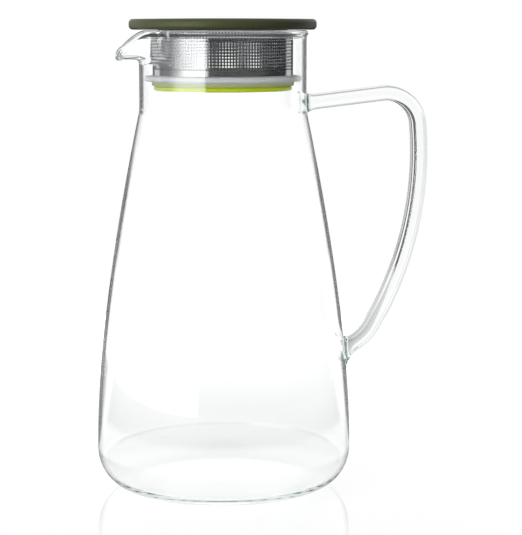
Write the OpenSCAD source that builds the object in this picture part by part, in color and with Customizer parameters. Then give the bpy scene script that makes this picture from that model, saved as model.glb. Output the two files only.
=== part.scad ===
// Glass pitcher with a lift-out strainer lid.
// Millimetres, +Z up, origin at the centre of the foot. The spout points to -X and the handle to +X.

/* [Jug] */
// Outer radius of the straight neck
neck_r = 44.5; // [42:0.1:50]
// Outer radius of the belly, the widest place
belly_r = 68.3; // [62:0.1:76]
// Height of the jug from the table to the rim
jug_h = 246; // [240:0.5:264]
// Height where the flank runs into the straight neck
neck_z = 204; // [188:0.5:207]
// Radius of the rounded heel
heel_r = 21.5; // [14:0.5:26]
// Height of the straight band between the heel and the flank
belly_band = 3; // [2.5:0.5:14]
// Thickness of the glass wall
wall = 2.3; // [1.8:0.1:2.8]
// Thickness of the base
base_t = 4.5; // [3:0.1:5]
// Width of the ring that stands on the table
foot_w = 6; // [3:0.5:12]
// Depth of the recess inside that ring
foot_recess = 0.8; // [0.4:0.1:1.6]

/* [Rim and spout] */
// How far the rolled rim stands out from the neck
rim_flare = 0.9; // [0.4:0.1:1.4]
// Height of the rolled rim
rim_h = 3.5; // [3:0.1:5]
// Distance from the axis to the tip of the spout, before the rolled rim
spout_reach = 56.5; // [54:0.5:64]
// Radius of the spout's tip, seen from above
spout_tip_r = 6; // [4:0.5:9]
// Depth of the spout's floor below the rim
spout_depth = 15.2; // [12:0.1:17]
// Radius of the bend from the neck into the spout's floor
spout_throat_r = 2.5; // [1.5:0.1:3]
// Radius of the bend from the floor into the spout's side walls
spout_side_r = 3.5; // [3.2:0.1:5]

/* [Handle] */
// Height at which the handle's upper arm leaves the neck
arm_z = 207.5; // [200:0.5:212]
// Upward slope of the upper arm, in degrees
arm_slope = 6.8; // [2:0.1:10]
// Length of the straight upper arm
arm_length = 41.6; // [36:0.2:50]
// Radius of the bend at the top of the handle
bend_r = 18; // [12:0.1:22]
// Turn of that bend, in degrees
bend_turn = 91.5; // [88:0.5:96]
// Radius of the long grip
grip_r = 183; // [160:1:220]
// Turn of the grip, in degrees
grip_turn = 36; // [31:0.5:38]
// Radius of the bend into the lower weld
tail_r = 26; // [20:0.5:34]
// Turn of that bend, in degrees
tail_turn = 28.5; // [24:0.5:36]
// Thickness of the glass strap, seen from the side
strap_t = 8; // [6:0.2:10]
// Width of the glass strap, seen from the end
strap_w = 13; // [10:0.5:18]
// How far the upper weld spreads past the strap
upper_weld = 1.6; // [0.5:0.1:3]
// How far the lower weld spreads past the strap
lower_weld = 4; // [1:0.1:6]

/* [Lid] */
// Thickness of the lid's disc
lid_t = 6; // [5:0.1:10]
// How far the lid stands out past the rolled rim
lid_overhang = 4.4; // [3:0.1:8]
// Radius of the lid's rounded edges
lid_edge_r = 2.1; // [1:0.1:2.4]
// Thickness of the cover's top and skirt
cover_t = 2.6; // [2.4:0.1:3.2]

/* [Strainer] */
// Gap from the strainer to the inside of the neck, where the drink pours
pour_gap = 4.9; // [4:0.1:7]
// Height of the steel sleeve
sleeve_h = 23.6; // [18:0.1:28]
// Thickness of the steel sheet
sleeve_t = 0.6; // [0.4:0.1:1]
// Diameter of a hole in the sleeve
hole_d = 2.2; // [1.6:0.1:2.6]
// Holes round the sleeve
hole_columns = 48; // [24:2:56]
// Rows of holes
hole_rows = 6; // [3:1:6]
// Plain band above the holes
top_band = 4.8; // [4.6:0.1:6]
// Plain band below the holes
bottom_band = 2.6; // [2.2:0.1:4]
// Wall of the plastic rings inside the sleeve
ring_t = 2; // [1.6:0.1:3]
// Height of the lime ring's bead below the seal
bead_h = 2.6; // [2:0.1:5]
// How far the bead stays behind the sleeve's face
bead_inset = 0.5; // [0.2:0.1:0.8]

/* [Bayonet] */
// Number of lugs
lug_count = 3; // [2:1:4]
// Length of a lug inwards
lug_reach = 1.8; // [1.2:0.1:2.2]
// Height of a lug
lug_h = 2; // [1.4:0.1:2.2]
// Width of a lug, in degrees
lug_turn = 14; // [8:1:20]
// Turn from locked to open, in degrees
twist = 30; // [20:1:40]

/* [Seal] */
// Height of the silicone seal
seal_h = 5.5; // [5:0.1:8]
// Height of its plain lower tier
seal_tier_h = 2; // [1.5:0.1:3]
// How far the tier stands out past the sleeve
seal_tier = 0.5; // [0.3:0.1:1.5]
// Thickness of the fin at its tip
fin_tip_t = 1.4; // [0.8:0.1:2]
// Depth of the groove that holds the seal
groove_d = 1; // [0.6:0.1:1.3]

/* [Fit] */
// Running clearance between pieces that move
clearance = 0.3; // [0.2:0.05:0.4]

/* [Hidden] */
$fn = 96;

// Overrun of every cut past the face it opens
overrun = 1;
// Step by which the spout's wall stays inside the neck's wall where the two meet
seam = 0.15;
// How far the spout's wall is sunk into the neck's wall there
seam_sink = 0.6;

// Jug
bore_r = neck_r - wall;
foot_r = belly_r - heel_r;
foot_in_r = foot_r - foot_w;
belly_z = heel_r + belly_band;
inner_heel_r = heel_r - wall;
rim_r = neck_r + rim_flare;
// Lengths of the flank curve's two control arms, as shares of its height
belly_pull_share = 0.412;
neck_pull_share = 0.007;
flank_h = neck_z - belly_z;
// Steps of a rounded corner and of the flank
heel_steps = 10;
flank_steps = 26;

// Spout
floor_z = jug_h - spout_depth;
// Plain neck between the split and the spout's throat
seam_band = wall / 3;
split_z = floor_z - spout_throat_r - seam_band;
// The sunk stretch beside the spout, as a turn
sink_turn = 2 * asin(seam_sink / (2 * neck_r));
tip_axis = spout_reach - spout_tip_r;
// Half angle at which the spout's straight sides leave the neck
side_turn = acos((neck_r - spout_tip_r) / tip_axis);
tip_turn = atan2(spout_tip_r * sin(side_turn), tip_axis + spout_tip_r * cos(side_turn));
// Plain neck beside the spout's sides, in degrees
side_margin = 7;
mouth_turn = side_turn + side_margin;
// Where the rim starts to fall towards the tip, as a share of the neck's radius
rim_fall_share = 0.837;
// Roundness of that fall: 1 is straight, 2 is an ellipse
rim_fall_power = 1.45;
// Least turn of the lip at the very tip, in degrees
lip_turn = 20;
// Least straight stretch between the side bend and the rolled rim
lip_land = rim_h / 10;
// Steps of the curves in the spout's sections, of its rolled rim and of the loft
bend_steps = 4;
roll_steps = 4;
spout_steps = 40;
// Crowding of the spout's stations towards its tip
station_power = 1.4;

// Handle
// Points round the strap
strap_sides = 20;
// Squareness of the strap's section: 2 is an ellipse
strap_power = 3;
// Stations along each stretch of the handle
arm_steps = 8;
top_bend_steps = 14;
grip_steps = 14;
tail_steps = 6;
root_steps = 6;
// Lengths over which the welds spread
upper_weld_length = 3 * upper_weld;
lower_weld_length = 3 * lower_weld;

// Lid
lid_r = rim_r + lid_overhang;
lid_z = jug_h + clearance;
plate_r = lid_r - cover_t - clearance / 2;
plate_t = lid_t - cover_t;

// Strainer
sleeve_r = bore_r - pour_gap;
sleeve_in_r = sleeve_r - sleeve_t;
sleeve_top = lid_z - clearance;
sleeve_z = sleeve_top - sleeve_h;
hole_rise = (sleeve_h - top_band - bottom_band - hole_d) / (hole_rows - 1);
ring_in_r = sleeve_in_r - groove_d - ring_t;
spigot_h = bottom_band - sleeve_t;
seal_z = sleeve_z - seal_h;
bead_z = seal_z - bead_h;
bead_r = sleeve_r - bead_inset;

// Bayonet
top_ring_in_r = sleeve_in_r - ring_t;
top_ring_h = top_band - clearance;
lug_drop = (top_ring_h - lug_h) / 2;
lug_z = sleeve_top - lug_drop - lug_h;
lug_r = top_ring_in_r - lug_reach;
boss_r = top_ring_in_r - clearance;
slot_r = lug_r - clearance;
boss_in_r = slot_r - ring_t;
boss_z = lug_z - clearance - ring_t;
// Clearance beside a lug, as a turn
side_slack = 2 * asin(clearance / (2 * lug_r));

function bezier(p, t) =
    pow(1 - t, 3) * p[0] + 3 * pow(1 - t, 2) * t * p[1] + 3 * (1 - t) * t * t * p[2] + pow(t, 3) * p[3];

// Quarter arc from the floor up to a vertical wall, about a centre at height r above z
function heel_arc(centre_r, z, r) =
    [for (i = [0:heel_steps]) let (a = 90 * i / heel_steps) [centre_r + r * sin(a), z + r - r * cos(a)]];

// S-curve from the belly to the neck, moved in by a wall thickness
function flank(inset) =
    let (
        low = [belly_r - inset, belly_z],
        high = [neck_r - inset, neck_z],
        control = [low, low + [0, belly_pull_share * flank_h], high - [0, neck_pull_share * flank_h], high]
    )
    [for (i = [0:flank_steps]) bezier(control, i / flank_steps)];

function reversed(list) = [for (i = [len(list) - 1:-1:0]) list[i]];

// Distance from the axis to the spout's outline, at an angle from the spout's middle
function spout_outline(angle) =
    let (a = abs(angle))
    a <= tip_turn ? tip_axis * cos(a) + sqrt(pow(spout_tip_r, 2) - pow(tip_axis * sin(a), 2))
    : a < side_turn ? neck_r / cos(side_turn - a)
    : neck_r;

// Height of the rim, which falls from the neck to the spout's tip
function rim_height(angle) =
    let (
        start = neck_r * rim_fall_share,
        along = spout_outline(angle) * cos(angle),
        u = min(max((along - start) / (spout_reach - start), 0), 1),
        low = floor_z + rim_h
    )
    low + (jug_h - low) * pow(1 - pow(u, rim_fall_power), 1 / rim_fall_power);

// Outer face of the upper neck as one line, from the split up to the rolled rim:
// a bend out into the spout's floor, the floor, and a bend up into the side wall
function lip_line(base_r, reach, top) =
    let (
        out = reach - neck_r,
        bends = spout_throat_r + spout_side_r,
        full = min(out / bends, 1),
        throat = full * spout_throat_r,
        side = full * spout_side_r,
        run = max(out - bends, 0),
        rise = max(top - rim_h - floor_z, 0),
        turn = rise >= spout_side_r ? 90 : max(acos(1 - rise / spout_side_r), lip_turn),
        side_z = floor_z + spout_side_r * (1 - cos(turn)),
        side_x = base_r + throat + run + side * sin(turn),
        land = max(floor_z + rise - side_z, lip_land)
    )
    concat(
        [[base_r, split_z - seam_sink]],
        [for (i = [0:bend_steps]) let (
            q = i / bend_steps,
            round_point = [throat * (1 - cos(90 * q)), spout_throat_r * (sin(90 * q) - 1)],
            slant_point = [throat * q, spout_throat_r * (q - 1)]
        ) [base_r, floor_z] + full * round_point + (1 - full) * slant_point],
        [for (i = [1:bend_steps]) let (
            q = i / bend_steps,
            round_point = [side * sin(turn * q), spout_side_r * (1 - cos(turn * q))],
            slant_point = [side * q, spout_side_r * q]
        ) [base_r + throat + run, floor_z] + full * round_point + (1 - full) * slant_point],
        [[side_x + land * cos(turn), side_z + land * sin(turn)]]
    );

function unit(v) = v / norm(v);

// Direction of a line at one of its points
function heading(line, i) =
    unit(line[min(i + 1, len(line) - 1)] - line[max(i - 1, 0)]);

function inward(v) = [-v[1], v[0]];

// Rolled rim at the end of a wall: a swelling outwards and a half round over the top
function rolled_rim(end, ahead, thick) =
    let (
        across = inward(ahead),
        roll_r = (thick + rim_flare) / 2,
        middle = end + (rim_h - roll_r) * ahead + (thick - rim_flare) / 2 * across
    )
    concat(
        [end + (rim_h - roll_r) / 2 * ahead - rim_flare / 2 * across],
        [for (i = [0:roll_steps]) let (a = 180 * i / roll_steps)
            middle + roll_r * (sin(a) * ahead - cos(a) * across)]
    );

// Closed section of the upper neck: the outer line, the rolled rim and the inner line back down
function lip_section(base_r, thick, reach, top) =
    let (
        line = lip_line(base_r, reach, top),
        last = len(line) - 1,
        inner = [for (i = [0:last])
            i == 0 ? line[0] - [thick, 0] : line[i] + thick * inward(heading(line, i))]
    )
    concat(line, rolled_rim(line[last], heading(line, last), thick), reversed(inner));

// Triangles that close a section: a strip across the wall and a fan over the rolled rim
function section_faces(count) =
    let (line = (count - roll_steps - 2) / 2)
    concat(
        [for (i = [0:line - 2]) each [[i, i + 1, count - 1 - i], [i + 1, count - 2 - i, count - 1 - i]]],
        [for (i = [line - 1:count - line - 2]) [i, i + 1, count - line]]
    );

// Solid of the jug's whole outside, which also cuts the handle's ends to fit
module jug_outside() {
    rotate_extrude() polygon(concat(
        [[0, 0]],
        heel_arc(foot_r, 0, heel_r),
        flank(0),
        [[neck_r, jug_h], [0, jug_h]]
    ));
}

// The spout: sections of the upper neck lofted round the axis
module spout_loft() {
    angles = [for (i = [0:spout_steps]) let (u = 2 * i / spout_steps - 1)
        sign(u) * mouth_turn * pow(abs(u), station_power)];
    sections = [for (a = angles)
        lip_section(neck_r - seam, wall - 2 * seam, spout_outline(a), rim_height(a) - seam)];
    count = len(sections[0]);
    points = [for (i = [0:spout_steps], p = sections[i])
        [-p[0] * cos(angles[i]), -p[0] * sin(angles[i]), p[1]]];
    skin = [for (i = [0:spout_steps - 1], k = [0:count - 1])
        let (a = i * count + k, b = i * count + (k + 1) % count)
        each [[a, b, a + count], [b, b + count, a + count]]];
    final = [for (f = section_faces(count)) f + spout_steps * [count, count, count]];
    first = [for (f = section_faces(count)) reversed(f)];
    polyhedron(points, concat(first, skin, final));
}

// Wedge of the upper neck that the spout takes the place of
module spout_gap() {
    across = rim_r + overrun;
    side = across * tan(mouth_turn - sink_turn);
    translate([0, 0, split_z])
        linear_extrude(spout_depth + rim_h + overrun)
            polygon([[0, 0], [-across, side], [-across, -side]]);
}

// Blown glass vessel with a rounded heel, a straight neck and a drawn spout
module jug_body() {
    rim_start = jug_h - rim_h;
    color("aliceblue", 0.4) union() {
        difference() {
            rotate_extrude() polygon(concat(
                [[0, foot_recess], [foot_in_r, foot_recess], [foot_in_r + foot_recess, 0]],
                heel_arc(foot_r, 0, heel_r),
                flank(0),
                [[neck_r, rim_start]],
                rolled_rim([neck_r, rim_start], [0, 1], wall),
                [[bore_r, rim_start]],
                reversed(flank(wall)),
                reversed(heel_arc(foot_r, base_t, inner_heel_r)),
                [[0, base_t]]
            ));
            spout_gap();
        }
        spout_loft();
    }
}

// End of an arc that turns clockwise from a start point and a direction
function arc_point(start, direction, r, turn) =
    start + r * [sin(direction) - sin(direction - turn), cos(direction - turn) - cos(direction)];

// Stations along one arc of the handle: place, direction and spread past the strap
function arc_stations(start, direction, r, turn, steps) =
    [for (i = [1:steps]) let (a = turn * i / steps) [arc_point(start, direction, r, a), direction - a, 0]];

// Stations along a straight stretch whose spread grows towards one end
function straight_stations(start, direction, from, to, steps, spread, spread_length, root) =
    [for (i = [0:steps]) let (
        s = from + (to - from) * i / steps,
        near = max(1 - abs(s - root) / spread_length, 0)
    ) [start + s * [cos(direction), sin(direction)], direction, spread * near * near]];

// One ring of points round the strap, square to its direction
function strap_ring(station) =
    [for (k = [0:strap_sides - 1]) let (
        a = 360 * k / strap_sides,
        half = [strap_t, strap_w] / 2 + [station[2], station[2]],
        up = sign(cos(a)) * pow(abs(cos(a)), 2 / strap_power) * half[0],
        side = sign(sin(a)) * pow(abs(sin(a)), 2 / strap_power) * half[1],
        place = station[0] + up * [-sin(station[1]), cos(station[1])]
    ) [place[0], side, place[1]]];

module strap_sweep() {
    root = [neck_r, arm_z];
    arm = straight_stations(root, arm_slope, -wall, arm_length, arm_steps, upper_weld, upper_weld_length, 0);
    arm_end = arm[len(arm) - 1][0];
    bend = arc_stations(arm_end, arm_slope, bend_r, bend_turn, top_bend_steps);
    grip_start = bend[len(bend) - 1];
    grip = arc_stations(grip_start[0], grip_start[1], grip_r, grip_turn, grip_steps);
    tail_start = grip[len(grip) - 1];
    tail = arc_stations(tail_start[0], tail_start[1], tail_r, tail_turn, tail_steps);
    weld_start = tail[len(tail) - 1];
    weld_length = (weld_start[0][0] - foot_r) / 2;
    weld = straight_stations(weld_start[0], weld_start[1], weld_length / root_steps, weld_length,
        root_steps, lower_weld, lower_weld_length, weld_length);
    stations = concat(arm, bend, grip, tail, weld);
    last = len(stations) - 1;
    points = [for (s = stations) each strap_ring(s)];
    first = [for (k = [0:strap_sides - 1]) k];
    final = [for (k = [strap_sides - 1:-1:0]) last * strap_sides + k];
    skin = [for (i = [0:last - 1], k = [0:strap_sides - 1])
        let (a = i * strap_sides + k, b = i * strap_sides + (k + 1) % strap_sides)
        each [[a, a + strap_sides, b], [b, a + strap_sides, b + strap_sides]]];
    polyhedron(points, concat([first], skin, [final]));
}

// Solid glass strap, welded to the neck and to the flank
module jug_handle() {
    color("aliceblue", 0.6) difference() {
        strap_sweep();
        jug_outside();
    }
}

// Quarter round between two faces of a revolved section, drawn from one angle to another
function corner(centre, r, from, to) =
    [for (i = [0:heel_steps]) let (a = from + (to - from) * i / heel_steps) centre + r * [cos(a), sin(a)]];

// Shallow cap with rounded edges, open underneath for the base plate
module lid_cover() {
    edge = lid_r - lid_edge_r;
    top = lid_z + lid_t;
    recess_r = lid_r - cover_t;
    color("darkolivegreen") rotate_extrude() polygon(concat(
        [[recess_r, lid_z]],
        corner([edge, lid_z + lid_edge_r], lid_edge_r, -90, 0),
        corner([edge, top - lid_edge_r], lid_edge_r, 0, 90),
        [[0, top], [0, lid_z + plate_t], [recess_r, lid_z + plate_t]]
    ));
}

// Part of a ring between two angles
module ring_sector(in_r, out_r, z, h, from, to) {
    rotate([0, 0, from]) rotate_extrude(angle = to - from) translate([in_r, z]) square([out_r - in_r, h]);
}

// Angles of the bayonet's lugs, clear of the spout
function lug_angles() = [for (i = [0:lug_count - 1]) 360 * i / lug_count];

// Plate that closes the cover, with the boss and the L-shaped slots that the strainer locks into
module lid_base() {
    half = lug_turn / 2 + side_slack;
    slot_top = lug_z + lug_h + clearance;
    color("olive") difference() {
        union() {
            translate([0, 0, lid_z]) cylinder(h = plate_t, r = plate_r);
            translate([0, 0, boss_z]) cylinder(h = lid_z - boss_z, r = boss_r);
        }
        translate([0, 0, boss_z - overrun]) cylinder(h = lid_z - boss_z + overrun, r = boss_in_r);
        for (a = lug_angles()) {
            ring_sector(slot_r, boss_r + overrun, lug_z - clearance, slot_top - lug_z + clearance,
                a - half - twist, a + half);
            ring_sector(slot_r, boss_r + overrun, boss_z - overrun, slot_top - boss_z + overrun,
                a - half - twist, a + half - twist);
        }
    }
}

// Plastic ring in the sleeve's top, with the bayonet's lugs
module strainer_top_ring() {
    color("darkolivegreen") union() {
        translate([0, 0, sleeve_top - top_ring_h]) difference() {
            cylinder(h = top_ring_h, r = sleeve_in_r);
            translate([0, 0, -overrun]) cylinder(h = top_ring_h + 2 * overrun, r = top_ring_in_r);
        }
        for (a = lug_angles())
            ring_sector(lug_r, top_ring_in_r + ring_t / 2, lug_z, lug_h, a - lug_turn / 2, a + lug_turn / 2);
    }
}

// Perforated steel sleeve
module strainer_sleeve() {
    color("silver") difference() {
        translate([0, 0, sleeve_z]) cylinder(h = sleeve_h, r = sleeve_r);
        translate([0, 0, sleeve_z - overrun]) cylinder(h = sleeve_h + 2 * overrun, r = sleeve_in_r);
        for (row = [0:hole_rows - 1], column = [0:hole_columns - 1])
            translate([0, 0, sleeve_z + bottom_band + hole_d / 2 + row * hole_rise])
                rotate([0, 90, 360 * column / hole_columns])
                    translate([0, 0, sleeve_in_r - overrun])
                        cylinder(h = sleeve_t + 2 * overrun, d = hole_d);
    }
}

// Lime ring in the sleeve's bottom: a spigot, the seal's groove and a rounded bead
module strainer_bottom_ring() {
    groove_r = sleeve_in_r - groove_d;
    bead_round = bead_h / 2;
    color("yellowgreen") rotate_extrude() polygon(concat(
        [[ring_in_r, bead_z]],
        corner([bead_r - bead_round, bead_z + bead_round], bead_round, -90, 90),
        [[groove_r, seal_z], [groove_r, sleeve_z], [sleeve_in_r, sleeve_z],
            [sleeve_in_r, sleeve_z + spigot_h], [ring_in_r, sleeve_z + spigot_h]]
    ));
}

// Silicone seal: a plain tier and a tapering fin that closes the neck
module neck_seal() {
    groove_r = sleeve_in_r - groove_d;
    tier_r = sleeve_r + seal_tier;
    fin_r = bore_r - clearance;
    tier_z = seal_z + seal_tier_h;
    fin_mid = (tier_z + sleeve_z) / 2;
    color("white") rotate_extrude() polygon(concat(
        [[groove_r, seal_z], [tier_r, seal_z], [tier_r, tier_z]],
        corner([fin_r - fin_tip_t / 2, fin_mid], fin_tip_t / 2, -90, 90),
        [[tier_r, sleeve_z], [groove_r, sleeve_z]]
    ));
}

jug_body();
jug_handle();
lid_cover();
lid_base();
strainer_top_ring();
strainer_sleeve();
strainer_bottom_ring();
neck_seal();
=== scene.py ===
"""Dresses the packed glass pitcher: a glass jug, an olive lid, a perforated steel strainer and its seal.

Lengths are metres in the frame's axes: +Z up, origin at the centre of the foot, spout to -X, handle to +X.
"""

import bpy
import numpy as np
from bpy.props import FloatProperty, FloatVectorProperty, IntProperty, PointerProperty
from bpy.types import Node, NodeSocket, Operator, Panel, PropertyGroup
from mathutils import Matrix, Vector


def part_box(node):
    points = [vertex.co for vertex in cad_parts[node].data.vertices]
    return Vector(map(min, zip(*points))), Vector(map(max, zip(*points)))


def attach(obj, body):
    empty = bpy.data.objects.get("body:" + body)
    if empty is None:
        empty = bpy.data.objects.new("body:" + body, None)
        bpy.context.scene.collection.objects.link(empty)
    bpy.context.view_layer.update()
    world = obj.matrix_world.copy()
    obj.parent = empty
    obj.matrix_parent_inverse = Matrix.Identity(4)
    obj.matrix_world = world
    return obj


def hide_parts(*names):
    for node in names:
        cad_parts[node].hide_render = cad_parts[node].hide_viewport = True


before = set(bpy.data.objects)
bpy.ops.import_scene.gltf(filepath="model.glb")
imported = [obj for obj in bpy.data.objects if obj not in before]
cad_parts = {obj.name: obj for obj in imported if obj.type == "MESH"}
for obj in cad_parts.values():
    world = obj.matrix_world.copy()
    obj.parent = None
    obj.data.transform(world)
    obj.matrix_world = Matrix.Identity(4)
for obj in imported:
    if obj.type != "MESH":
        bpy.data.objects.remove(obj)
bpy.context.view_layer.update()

bl_info = {
    "name": "Glass Pitcher with Strainer Lid",
    "version": (1, 0, 0),
    "blender": (4, 5, 0),
    "location": "View3D > Sidebar > Pitcher",
    "description": "Builds the looks of a glass pitcher and its strainer lid around the packed frame",
    "category": "Add Mesh",
}

MM = 0.001
JUG_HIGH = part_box("jug_body")[1]
LID_LOW, LID_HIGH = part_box("lid_cover")
SLEEVE_LOW, SLEEVE_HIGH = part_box("strainer_sleeve")
RING_LOW, RING_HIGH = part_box("strainer_bottom_ring")
SEAL_LOW, SEAL_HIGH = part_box("neck_seal")

# Points round a turned piece, and steps of a rounded corner
TURNED_COLUMNS = 192
CORNER_STEPS = 7
# Columns of half the spout and of half the flank, and rows of the underside, the heel and the inside
SPOUT_COLUMNS = 45
FLANK_COLUMNS = 56
FOOT_STEPS = 8
HEEL_ROWS = 30
INNER_ROWS = 100
# Rows of the outside below, between and above the welds
ROWS_BELOW = 16
ROWS_BETWEEN = 56
ROWS_ABOVE = 10
# How far past the spout's sides its columns reach, and how they crowd towards the tip
SPOUT_MARGIN = np.radians(9)
SPOUT_CROWDING = 1.35
# Steps along the spout's bends, its land, the rolled rim's swell and its half circle
BEND_STEPS = 11
LAND_STEPS = 7
SWELL_STEPS = 7
ROLL_STEPS = 17
# Steps along the handle's arm and its three arcs
ARM_STEPS = 10
ARC_STEPS = (30, 44, 14)
# How fast the base thins into the heel, and how late the heel's wall runs into the flank's
BASE_THINNING = 1.6
FLANK_START = 2.6
# Share of the neck's height over which the wall thins, and share of the foot's width that is in the dome
BLOWN_SHARE = 0.3
FOOT_EDGE_SHARE = 0.9
# Rings and columns of the floor
FLOOR_RINGS = 11
FLOOR_COLUMNS = 96
# Creases sharper than this stay sharp, in radians
CREASE = np.radians(38)
# Columns on each side, and rows, of the two welds: both loops have the same number of points
UPPER_WELD = (8, 12)
LOWER_WELD = (6, 16)
# Spacing of the columns behind the welds
WELD_STEP = np.radians(1.45)
# Least upward bend of the lip, which it has at the tip of the spout
LEAST_LIP = np.radians(5)


def linear(code):
    """Linear light of an sRGB hex colour such as #b4c81e."""
    srgb = np.array([int(code[i:i + 2], 16) for i in (1, 3, 5)]) / 255
    light = np.where(srgb <= 0.04045, srgb / 12.92, ((srgb + 0.055) / 1.055) ** 2.4)
    return tuple(float(value) for value in light)


def length(name, description, default):
    """A property that holds a length in metres."""
    return FloatProperty(name=name, description=description, default=default, min=0, precision=5,
                         unit="LENGTH")


def angle(name, description, degrees):
    """A property that holds an angle, given here in degrees."""
    return FloatProperty(name=name, description=description, default=np.radians(degrees), unit="ROTATION")


def share(name, description, default):
    """A property that holds a share from 0 to 1."""
    return FloatProperty(name=name, description=description, default=default, min=0, max=1, subtype="FACTOR")


def level(name, description, default):
    """A property that holds a level with no upper end."""
    return FloatProperty(name=name, description=description, default=default, min=0)


def colour(name, description, code):
    """A property that holds a colour, given here as sRGB hex."""
    return FloatVectorProperty(name=name, description=description, default=linear(code), size=3, min=0, max=1,
                               subtype="COLOR")


class PitcherJug(PropertyGroup):
    """Sizes of the glass jug."""

    belly_radius: length("Belly radius", "Outer radius at the widest place", JUG_HIGH.x)
    neck_radius: length("Neck radius", "Outer radius of the straight neck", 44.5 * MM)
    height: length("Height", "From the table to the rim", JUG_HIGH.z)
    neck_height: length("Neck height", "Where the flank runs into the neck", 204 * MM)
    heel_radius: length("Heel radius", "Radius of the rounded heel", 21.5 * MM)
    belly_band: length("Belly band", "Straight band above the heel", 3 * MM)
    wall: length("Wall", "Thickness of the glass at the neck", 2.3 * MM)
    flank_wall: length("Flank wall", "Thickness of the glass where the belly was blown out", 1.7 * MM)
    base: length("Base", "Thickness of the base over the foot", 2.8 * MM)
    heel_wall: length("Heel wall", "Thickness of the glass where the heel was blown out", 1.6 * MM)
    foot_width: length("Foot width", "Width of the ring that stands on the table", 6 * MM)
    foot_recess: length("Foot recess", "Height of the shallow dome under the base", 0.8 * MM)
    belly_pull: share("Belly pull", "Lower arm of the flank's curve, as a share of its height", 0.412)
    neck_pull: share("Neck pull", "Upper arm of the flank's curve, as a share of its height", 0.007)


class PitcherSpout(PropertyGroup):
    """Sizes of the rim and the spout."""

    rim_flare: length("Rim flare", "How far the rolled rim stands out", 0.9 * MM)
    rim_height: length("Rim height", "Height of the rolled rim", 3.5 * MM)
    reach: length("Reach", "From the axis to the tip, before the rolled rim", 56.5 * MM)
    tip_radius: length("Tip radius", "Radius of the tip, seen from above", 6 * MM)
    depth: length("Depth", "From the rim down to the spout's floor", 15.2 * MM)
    throat_radius: length("Throat radius", "Bend from the neck into the floor", 2.5 * MM)
    side_radius: length("Side radius", "Bend from the floor into the side walls", 3.5 * MM)
    fall_start: share("Fall start", "Where the rim starts to fall, as a share of the neck", 0.91)
    fall_power: FloatProperty(name="Fall power", default=1.5, min=1, max=3,
                              description="Roundness of that fall: 1 is straight, 2 an ellipse")
    tip_fall: length("Tip fall", "How far below the tip's lip that fall is aimed", 3 * MM)
    thinning: FloatProperty(name="Thinning", default=0.6, min=0, max=0.8, subtype="FACTOR",
                            description="How much of the wall is lost where the spout was drawn out")
    pinch: length("Pinch", "Depth of the folds where the spout's sides leave the neck", 1.3 * MM)
    pinch_width: length("Pinch width", "Half width of those folds", 2.6 * MM)


class PitcherHandle(PropertyGroup):
    """Sizes of the glass handle."""

    arm_height: length("Arm height", "Where the upper arm leaves the neck", 207.5 * MM)
    arm_slope: angle("Arm slope", "Upward slope of the upper arm", 6.8)
    arm_length: length("Arm length", "Length of the straight upper arm", 41.6 * MM)
    bend_radius: length("Bend radius", "Radius of the top bend", 18 * MM)
    bend_turn: angle("Bend turn", "Turn of the top bend", 91.5)
    grip_radius: length("Grip radius", "Radius of the long grip", 183 * MM)
    grip_turn: angle("Grip turn", "Turn of the grip", 36)
    tail_radius: length("Tail radius", "Radius of the bend into the lower weld", 26 * MM)
    tail_turn: angle("Tail turn", "Turn of that bend", 28.5)
    thickness: length("Thickness", "Strap thickness, seen from the side", 8 * MM)
    width: length("Width", "Strap width, seen from the end", 13 * MM)
    squareness: FloatProperty(name="Squareness", default=4.5, min=2, max=10,
                              description="Power of the strap's section: 2 is an ellipse")
    upper_weld: length("Upper weld", "Height of the glass spread at the neck", 12.5 * MM)
    lower_weld: length("Lower weld", "Height of the glass spread at the flank", 21 * MM)


class PitcherStrainer(PropertyGroup):
    """Sizes of the lid, the strainer and the seal."""

    lid_edge: length("Lid edge", "Radius of the lid's rounded edges", 2.1 * MM)
    lid_dome: length("Lid dome", "Fall of the lid's top from its middle to its edge", 0.35 * MM)
    cover_wall: length("Cover wall", "Thickness of the lid's shell", 2.6 * MM)
    sheet: length("Sheet", "Thickness of the steel", 0.6 * MM)
    hole_columns: IntProperty(name="Hole columns", description="Holes round the sleeve", default=144, min=24)
    hole_rows: IntProperty(name="Hole rows", description="Rows of holes", default=12, min=2)
    hole_share: FloatProperty(name="Hole share", default=0.64, min=0.2, max=0.85, subtype="FACTOR",
                              description="Width of a hole as a share of the pitch")
    bottom_band: length("Bottom band", "Plain steel below the holes", 2.6 * MM)
    ring_wall: length("Ring wall", "Wall of the lime ring", 2 * MM)
    bead: length("Bead", "Height of the lime bead", 2.6 * MM)
    groove: length("Groove", "Depth of the groove that holds the seal", 1 * MM)
    tier: length("Tier", "Height of the seal's plain lower tier", 2 * MM)
    tier_step: length("Tier step", "How far the tier stands out past the sleeve", 0.5 * MM)
    fin_tip: length("Fin tip", "Thickness of the fin at its tip", 2.6 * MM)


class PitcherColours(PropertyGroup):
    """Colours of the finishes."""

    glass: colour("Glass", "Tint of the clear glass", "#fdfefe")
    glass_depth: colour("Glass depth", "What thick glass lets through", "#d8efe0")
    olive: colour("Olive", "Lid plastic", "#383c24")
    olive_light: colour("Olive light", "Paler flow marks in the lid plastic", "#40452c")
    dark: colour("Dark", "Plastic of the hidden base plate", "#33362a")
    dark_light: colour("Dark light", "Paler grain of that plastic", "#3d4033")
    steel: colour("Steel", "Bright face of the sheet", "#c4c6c8")
    steel_dull: colour("Steel dull", "Duller rolling streaks", "#aeb0b3")
    lime: colour("Lime", "Ring plastic", "#e6f632")
    lime_deep: colour("Lime deep", "Deeper flow marks in the ring plastic", "#dcee28")
    silicone: colour("Silicone", "Frosted seal", "#eceef0")
    # Painted light: the lime of the ring below, seen through the seal, painted into its lower tier
    silicone_lime_light: colour("Silicone lime", "Tier of the seal, tinted by the ring below", "#c6d48c")


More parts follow.
